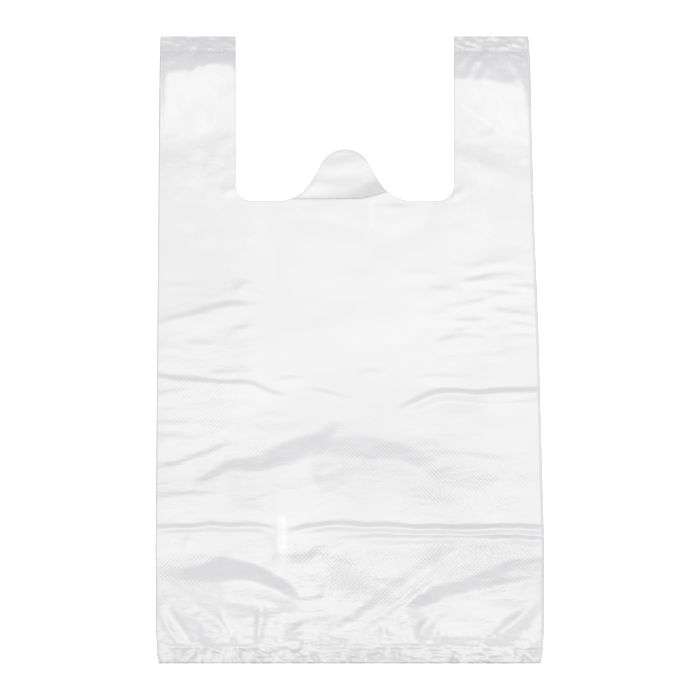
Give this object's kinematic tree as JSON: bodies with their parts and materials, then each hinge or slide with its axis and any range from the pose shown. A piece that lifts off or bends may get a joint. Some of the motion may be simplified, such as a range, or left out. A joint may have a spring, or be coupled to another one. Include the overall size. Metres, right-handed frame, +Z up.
{
  "type": "plastic carrier bag",
  "caption": "Flat, empty vest-shaped carrier bag of thin milky film, with side gussets, looped handles and a welded bottom.",
  "frame": {"origin": "middle of the bag's box in X and Y, on the surface that it lies on", "axes": "+Y along the bag from the bottom weld to the handles, +X across it to the right, +Z up, out of the front sheet"},
  "size_m": [0.311, 0.5016, 0.002],
  "materials": {
    "milky_film": "satin, thin and slightly translucent"
  },
  "bodies": {
    "root": {"carrier_bag": "milky_film"}
  },
  "joints": []
}
